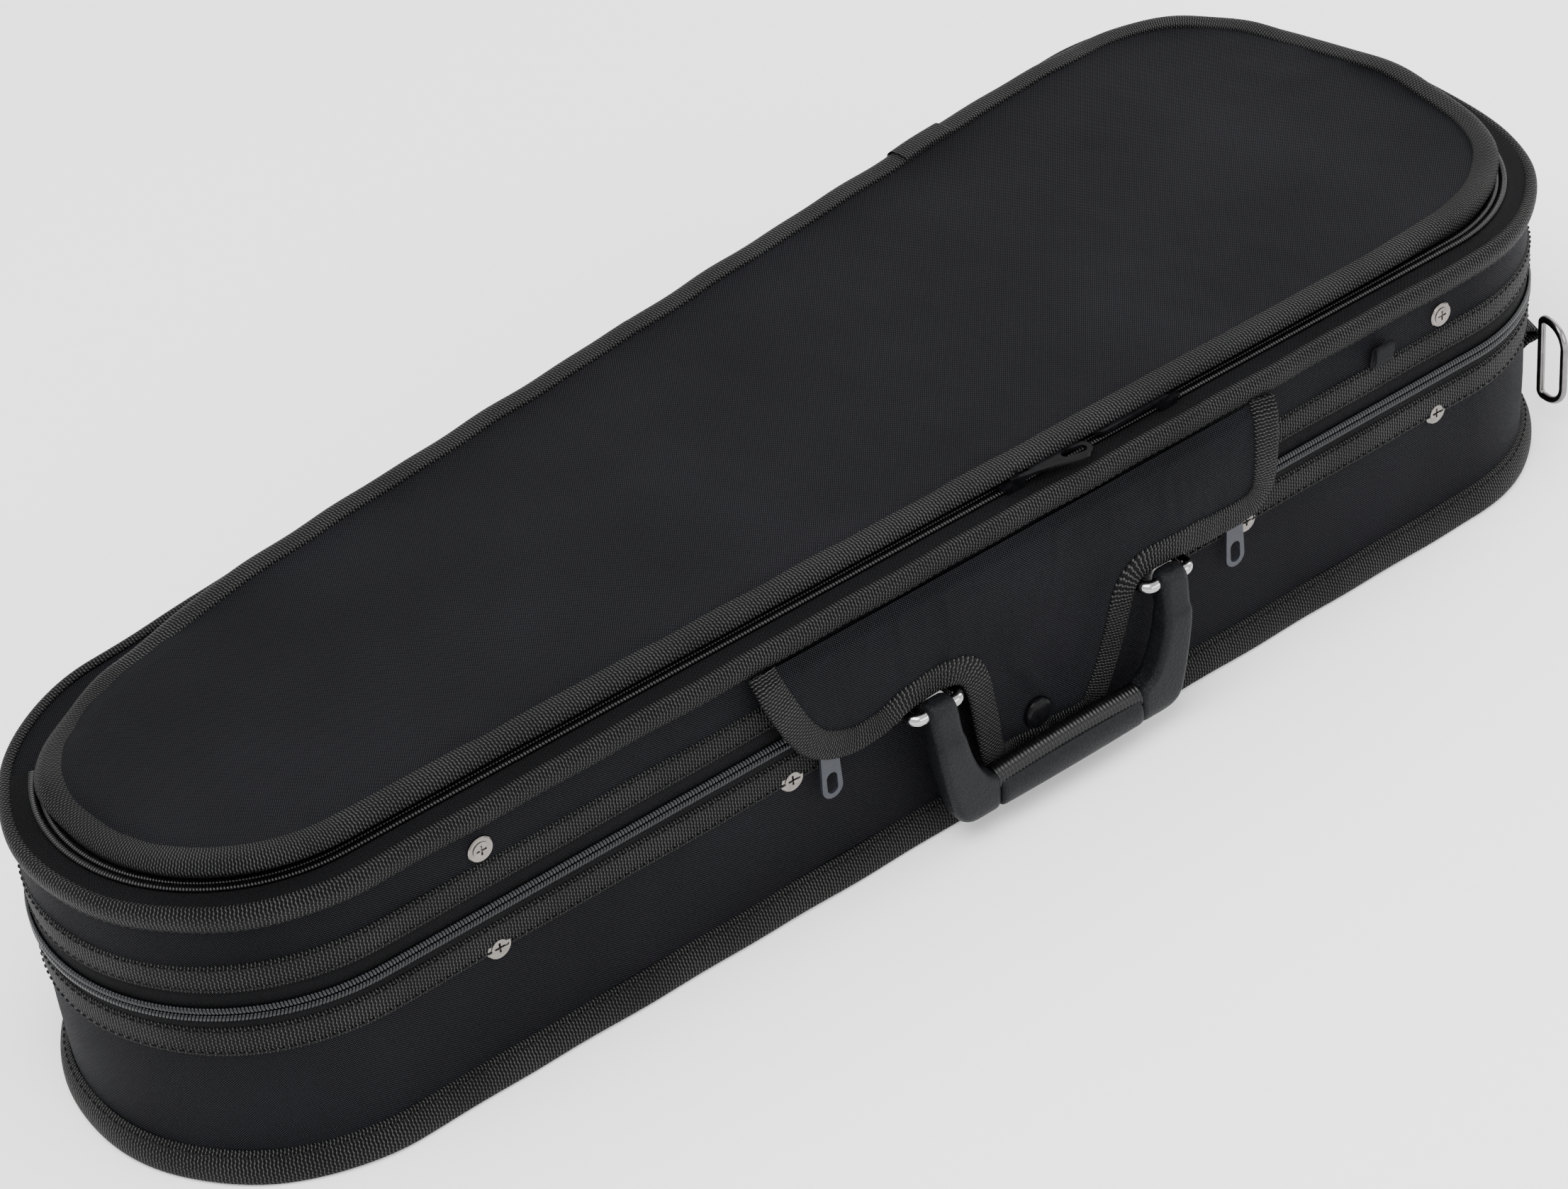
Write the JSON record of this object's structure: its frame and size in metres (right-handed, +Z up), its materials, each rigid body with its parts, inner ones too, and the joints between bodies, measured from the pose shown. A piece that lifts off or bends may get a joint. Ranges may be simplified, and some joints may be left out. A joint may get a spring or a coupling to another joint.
{
  "type": "violin case",
  "caption": "Soft-covered black violin case, tapered to one end, with a zipped lid, a zipped music pocket, a snap-down flap and a moulded carrying handle.",
  "frame": {"origin": "middle of the flat base on the ground, half way between the narrow and wide ends", "axes": "+X towards the wide end, +Y towards the hinge side (the handle is on -Y), +Z up"},
  "size_m": [0.6483, 0.2303, 0.1276],
  "materials": {
    "black_weave": "woven polyester cover cloth",
    "ribbed_tape": "ribbed binding tape and webbing",
    "coil": "nylon zip coils and their cloth",
    "moulded_plastic": "grained moulded handle",
    "nickel": "polished nickel plate",
    "gloss_black": "gloss black enamelled metal",
    "grey_pull": "matte dark grey painted metal",
    "shell": "rigid moulded shell",
    "plush": "short plush lining",
    "tag": "woven white and black tag"
  },
  "bodies": {
    "case": {"case_shell": "shell", "case_cover": "black_weave", "base_binding": "ribbed_tape", "lower_tape": "ribbed_tape", "main_zip_lower": "coil", "case_lining": "plush", "violin_bed": "plush", "neck_cradle": "plush", "neck_strap": "plush", "accessory_wall": "plush", "case_cups": "nickel", "case_screws": "nickel", "handle_staples": "nickel", "staple_plates": "nickel", "snap_stud": "gloss_black", "ring_tab_wide": "ribbed_tape", "ring_tab_narrow": "ribbed_tape", "hinge_cloth": "black_weave"},
    "lid": {"lid_shell": "shell", "lid_cover": "black_weave", "lid_binding": "ribbed_tape", "upper_tape": "ribbed_tape", "main_zip_upper": "coil", "lid_lining": "plush", "size_tag": "tag", "binding_end_cover": "ribbed_tape", "pocket_zip_outer": "coil", "lid_cups": "nickel", "lid_screws": "nickel", "spinner_post_a": "moulded_plastic", "spinner_post_b": "moulded_plastic", "bow_tip_holders": "plush"},
    "handle": {"handle_body": "moulded_plastic"},
    "flap": {"flap": "black_weave", "flap_tape": "ribbed_tape", "snap_cap": "gloss_black"},
    "pocket_panel": {"pocket_panel": "black_weave", "panel_edging": "ribbed_tape", "pocket_zip_inner": "coil"},
    "accessory_lid": {"accessory_lid": "plush", "accessory_tab": "plush"},
    "bow_spinner_a": {"bow_spinner_a": "moulded_plastic"},
    "bow_spinner_b": {"bow_spinner_b": "moulded_plastic"},
    "main_slider_left": {"main_slider_left": "gloss_black"},
    "main_slider_right": {"main_slider_right": "gloss_black"},
    "main_pull_left": {"main_pull_left": "grey_pull"},
    "main_pull_right": {"main_pull_right": "grey_pull"},
    "pocket_slider_left": {"pocket_slider_left": "gloss_black"},
    "pocket_slider_right": {"pocket_slider_right": "gloss_black"},
    "pocket_pull_left": {"pocket_pull_left": "gloss_black"},
    "pocket_pull_right": {"pocket_pull_right": "gloss_black"},
    "d_ring_wide": {"d_ring_wide": "nickel"},
    "d_ring_narrow": {"d_ring_narrow": "nickel"}
  },
  "joints": [
    {"name": "lid_hinge", "type": "hinge", "parent": "case", "child": "lid", "pos_m": [-0.00439, 0.09228, 0.07595], "axis": [-0.9976, -0.0686, 0], "range_deg": [0, 100], "deforming": ["hinge_cloth"]},
    {"name": "handle_hinge", "type": "hinge", "parent": "case", "child": "handle", "pos_m": [0.02491, -0.10532, 0.0628], "axis": [-0.9976, 0.0686, 0], "range_deg": [0, 140]},
    {"name": "flap_hinge", "type": "hinge", "parent": "lid", "child": "flap", "pos_m": [0.02314, -0.09758, 0.1106], "axis": [-0.9976, 0.0686, 0], "range_deg": [0, 100]},
    {"name": "pocket_hinge", "type": "hinge", "parent": "lid", "child": "pocket_panel", "pos_m": [-0.00364, 0.0813, 0.1192], "axis": [-0.9976, -0.0686, 0], "range_deg": [0, 70]},
    {"name": "accessory_hinge", "type": "hinge", "parent": "case", "child": "accessory_lid", "pos_m": [-0.10934, 0.07664, 0.0635], "axis": [-0.9976, -0.0686, 0], "range_deg": [0, 60]},
    {"name": "spinner_a", "type": "hinge", "parent": "lid", "child": "bow_spinner_a", "pos_m": [0.212, -0.034, 0.1], "axis": [0, 0, 1], "range_deg": [-90, 90]},
    {"name": "spinner_b", "type": "hinge", "parent": "lid", "child": "bow_spinner_b", "pos_m": [0.212, 0.034, 0.1], "axis": [0, 0, 1], "range_deg": [-90, 90]},
    {"name": "main_slide_left", "type": "slide", "parent": "case", "child": "main_slider_left", "axis": [0.9976, -0.0686, 0], "range_m": [-0.15, 0]},
    {"name": "main_slide_right", "type": "slide", "parent": "case", "child": "main_slider_right", "axis": [0.9976, -0.0686, 0], "range_m": [0, 0.1]},
    {"name": "main_pull_swing_left", "type": "hinge", "parent": "main_slider_left", "child": "main_pull_left", "pos_m": [-0.07121, -0.09209, 0.07595], "axis": [-0.0686, -0.9976, 0], "range_deg": [-25, 25]},
    {"name": "main_pull_swing_right", "type": "hinge", "parent": "main_slider_right", "child": "main_pull_right", "pos_m": [0.11595, -0.10496, 0.07595], "axis": [-0.0686, -0.9976, 0], "range_deg": [-25, 25]},
    {"name": "pocket_slide_left", "type": "slide", "parent": "lid", "child": "pocket_slider_left", "axis": [0.9976, -0.0686, 0], "range_m": [-0.2, 0.004]},
    {"name": "pocket_slide_right", "type": "slide", "parent": "lid", "child": "pocket_slider_right", "axis": [0.9976, -0.0686, 0], "range_m": [-0.004, 0.12]},
    {"name": "pocket_pull_lift_left", "type": "hinge", "parent": "pocket_slider_left", "child": "pocket_pull_left", "pos_m": [0.02676, -0.0842, 0.12405], "axis": [-0.2745, -0.9616, 0], "range_deg": [0, 135]},
    {"name": "pocket_pull_lift_right", "type": "hinge", "parent": "pocket_slider_right", "child": "pocket_pull_right", "pos_m": [0.0972, -0.08904, 0.12405], "axis": [0.0686, 0.9976, 0], "range_deg": [0, 135]},
    {"name": "ring_swing_wide", "type": "hinge", "parent": "case", "child": "d_ring_wide", "pos_m": [0.307, -0.08902, 0.031], "axis": [0, 0, 1], "range_deg": [-15, 135]},
    {"name": "ring_swing_narrow", "type": "hinge", "parent": "case", "child": "d_ring_narrow", "pos_m": [-0.28412, 0.0747, 0.031], "axis": [0, 0, 1], "range_deg": [-15, 135]}
  ]
}
